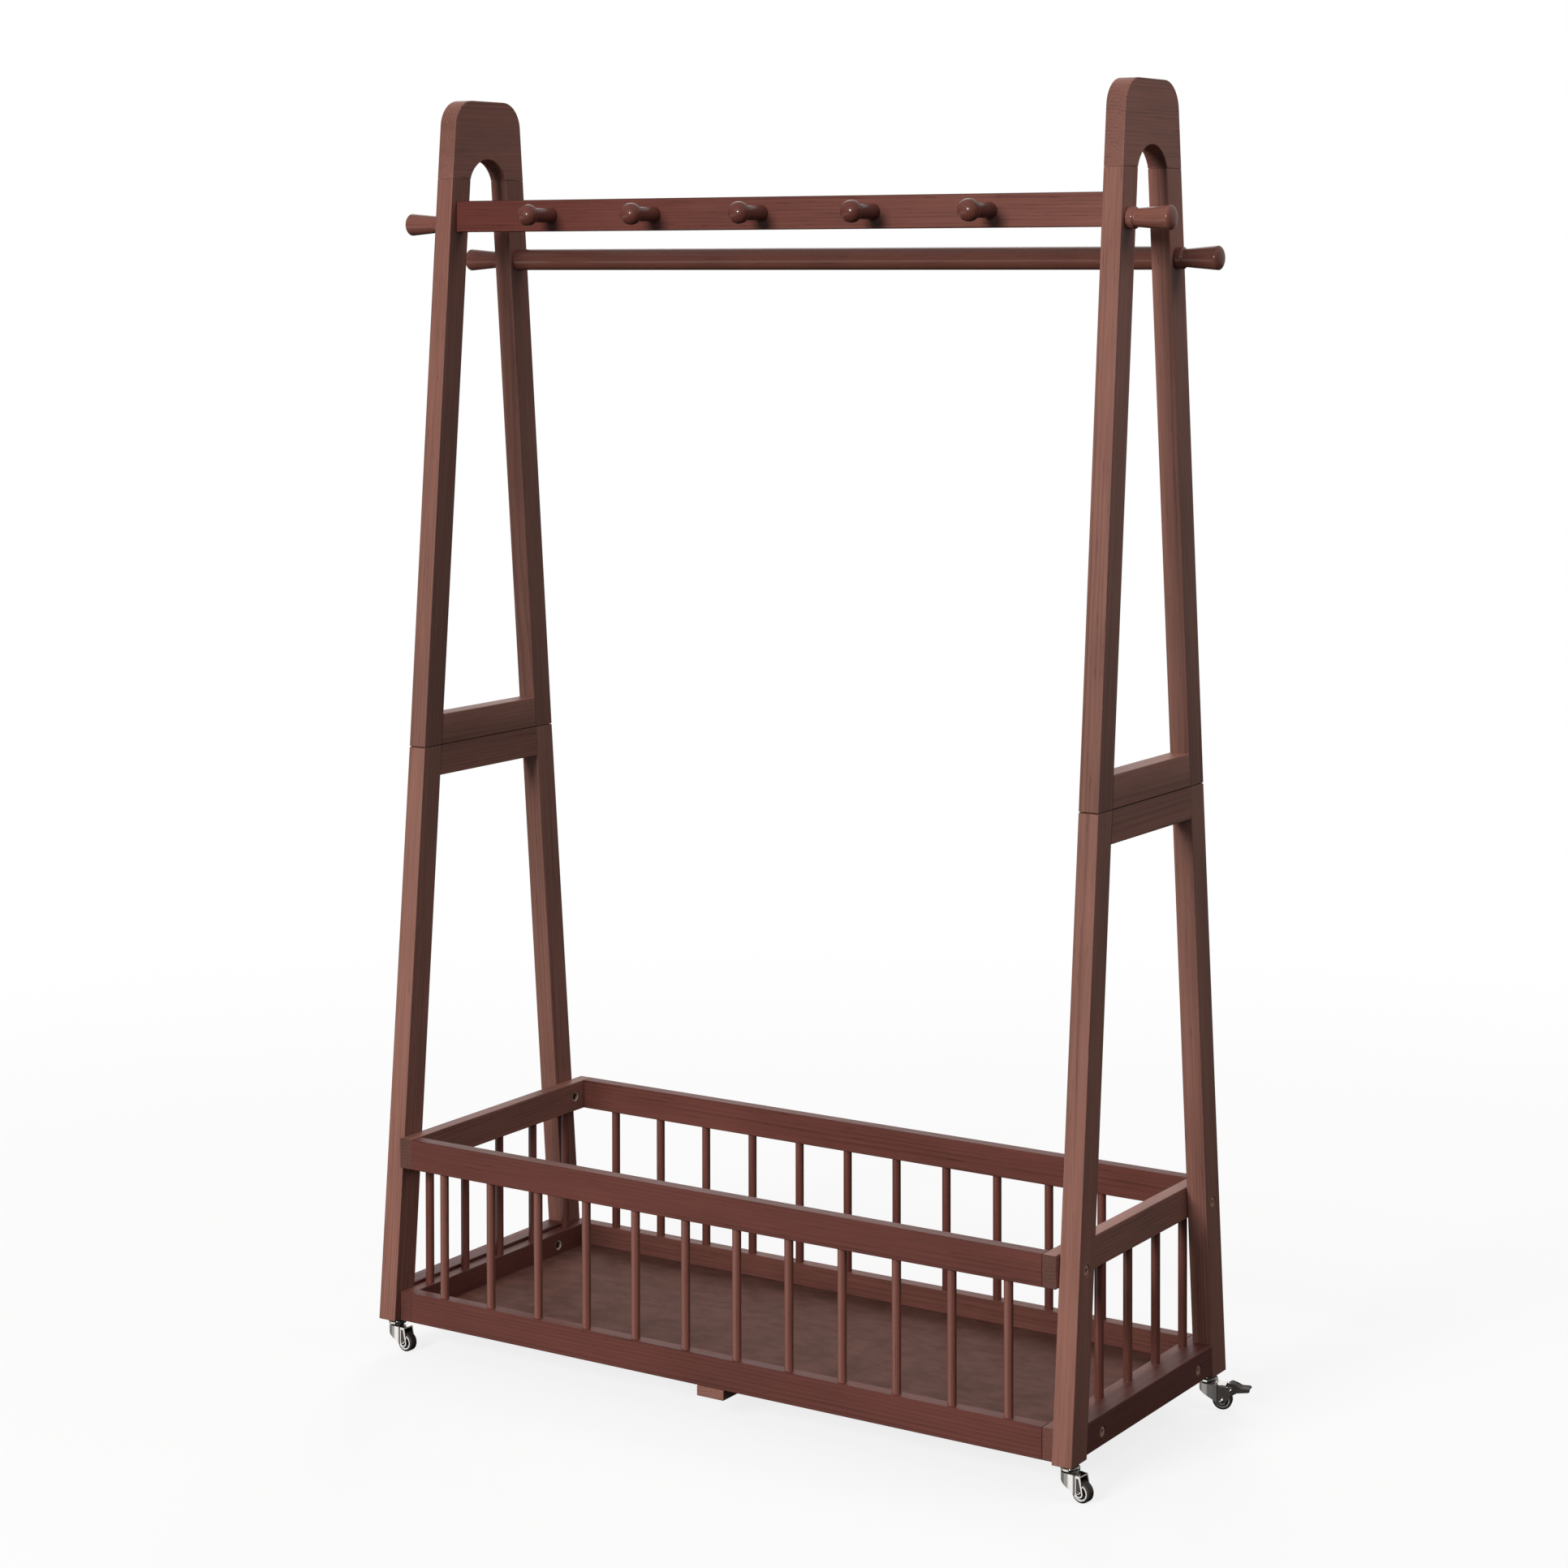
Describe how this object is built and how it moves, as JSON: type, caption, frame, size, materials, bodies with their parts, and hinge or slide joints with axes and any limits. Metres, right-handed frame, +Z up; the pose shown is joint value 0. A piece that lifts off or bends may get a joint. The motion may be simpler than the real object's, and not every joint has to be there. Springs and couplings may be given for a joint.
{
  "type": "clothes rack",
  "caption": "Rolling wooden clothes rack: leaning end frames carry a board of hooks, a hanging rod and a spindle-sided basket, and stand on swivel casters.",
  "frame": {"origin": "on the floor, under the middle of the rack's overall box", "axes": "+X along the hanging rod, towards the right end frame seen from the hook side; +Y from the hook board towards the hanging rod; +Z up"},
  "size_m": [1.1166, 0.4026, 1.607],
  "materials": {
    "stained_pine": "red-brown stain under satin lacquer",
    "turned_pine": "darker red-brown stain under a glossier lacquer",
    "plywood_panel": "dull brown stain",
    "zinc_steel": "zinc plated",
    "bright_steel": "bright plated",
    "wheel_rubber": "dark grey-brown, matte",
    "lever_plastic": "dark grey-brown, matte"
  },
  "bodies": {
    "rack": {"left_head": "stained_pine", "left_foot_rail": "stained_pine", "left_lower_top_rail": "stained_pine", "left_upper_rail": "stained_pine", "left_lower_front_leg": "stained_pine", "left_lower_rear_leg": "stained_pine", "left_upper_front_leg": "stained_pine", "left_upper_rear_leg": "stained_pine", "right_head": "stained_pine", "right_foot_rail": "stained_pine", "right_lower_top_rail": "stained_pine", "right_upper_rail": "stained_pine", "right_lower_front_leg": "stained_pine", "right_lower_rear_leg": "stained_pine", "right_upper_front_leg": "stained_pine", "right_upper_rear_leg": "stained_pine", "hook_board": "stained_pine", "hanging_rod": "turned_pine", "hook_peg_1": "turned_pine", "hook_peg_2": "turned_pine", "hook_peg_3": "turned_pine", "hook_peg_4": "turned_pine", "hook_peg_5": "turned_pine", "left_front_peg": "turned_pine", "left_rear_peg": "turned_pine", "right_front_peg": "turned_pine", "right_rear_peg": "turned_pine", "basket_front_top_slat": "stained_pine", "basket_rear_top_slat": "stained_pine", "basket_left_top_slat": "stained_pine", "basket_right_top_slat": "stained_pine", "basket_front_spindle_slat": "stained_pine", "basket_rear_spindle_slat": "stained_pine", "basket_left_spindle_slat": "stained_pine", "basket_right_spindle_slat": "stained_pine", "basket_floor": "plywood_panel", "batten": "stained_pine", "left_front_upper_bolt": "zinc_steel", "left_front_lower_bolt": "zinc_steel", "left_rear_upper_bolt": "zinc_steel", "left_rear_lower_bolt": "zinc_steel", "right_front_upper_bolt": "zinc_steel", "right_front_lower_bolt": "zinc_steel", "right_rear_upper_bolt": "zinc_steel", "right_rear_lower_bolt": "zinc_steel", "front_left_caster_stem": "bright_steel", "front_right_caster_stem": "bright_steel", "rear_left_caster_stem": "bright_steel", "rear_right_caster_stem": "bright_steel"},
    "front_left_fork": {"front_left_caster_fork": "zinc_steel"},
    "front_right_fork": {"front_right_caster_fork": "zinc_steel"},
    "rear_left_fork": {"rear_left_caster_fork": "zinc_steel"},
    "rear_right_fork": {"rear_right_caster_fork": "zinc_steel"},
    "front_left_wheel": {"front_left_caster_wheel": "wheel_rubber"},
    "front_right_wheel": {"front_right_caster_wheel": "wheel_rubber"},
    "rear_left_wheel": {"rear_left_caster_wheel": "wheel_rubber"},
    "rear_right_wheel": {"rear_right_caster_wheel": "wheel_rubber"},
    "rear_left_lever": {"rear_left_brake_lever": "lever_plastic"},
    "rear_right_lever": {"rear_right_brake_lever": "lever_plastic"}
  },
  "joints": [
    {"name": "front_left_swivel", "type": "hinge", "parent": "rack", "child": "front_left_fork", "pos_m": [-0.4872, -0.1794, 0.0311], "axis": [0, 0, 1], "continuous": true},
    {"name": "front_right_swivel", "type": "hinge", "parent": "rack", "child": "front_right_fork", "pos_m": [0.4872, -0.1794, 0.0311], "axis": [0, 0, 1], "continuous": true},
    {"name": "rear_left_swivel", "type": "hinge", "parent": "rack", "child": "rear_left_fork", "pos_m": [-0.4872, 0.1794, 0.0311], "axis": [0, 0, 1], "continuous": true},
    {"name": "rear_right_swivel", "type": "hinge", "parent": "rack", "child": "rear_right_fork", "pos_m": [0.4872, 0.1794, 0.0311], "axis": [0, 0, 1], "continuous": true},
    {"name": "front_left_wheel_axle", "type": "hinge", "parent": "front_left_fork", "child": "front_left_wheel", "pos_m": [-0.47024, -0.18059, 0.012], "axis": [0.0698, 0.9976, 0], "continuous": true},
    {"name": "front_right_wheel_axle", "type": "hinge", "parent": "front_right_fork", "child": "front_right_wheel", "pos_m": [0.50407, -0.18147, 0.012], "axis": [0.1219, 0.9925, 0], "continuous": true},
    {"name": "rear_left_wheel_axle", "type": "hinge", "parent": "rear_left_fork", "child": "rear_left_wheel", "pos_m": [-0.47041, 0.18206, 0.012], "axis": [-0.1564, 0.9877, 0], "continuous": true},
    {"name": "rear_right_wheel_axle", "type": "hinge", "parent": "rear_right_fork", "child": "rear_right_wheel", "pos_m": [0.50354, 0.18409, 0.012], "axis": [-0.2756, 0.9613, 0], "continuous": true},
    {"name": "rear_left_brake", "type": "hinge", "parent": "rear_left_fork", "child": "rear_left_lever", "pos_m": [-0.45974, 0.18375, 0.0256], "axis": [-0.1564, 0.9877, 0], "range_deg": [0, 15]},
    {"name": "rear_right_brake", "type": "hinge", "parent": "rear_right_fork", "child": "rear_right_lever", "pos_m": [0.51392, 0.18706, 0.0256], "axis": [-0.2756, 0.9613, 0], "range_deg": [0, 15]}
  ]
}
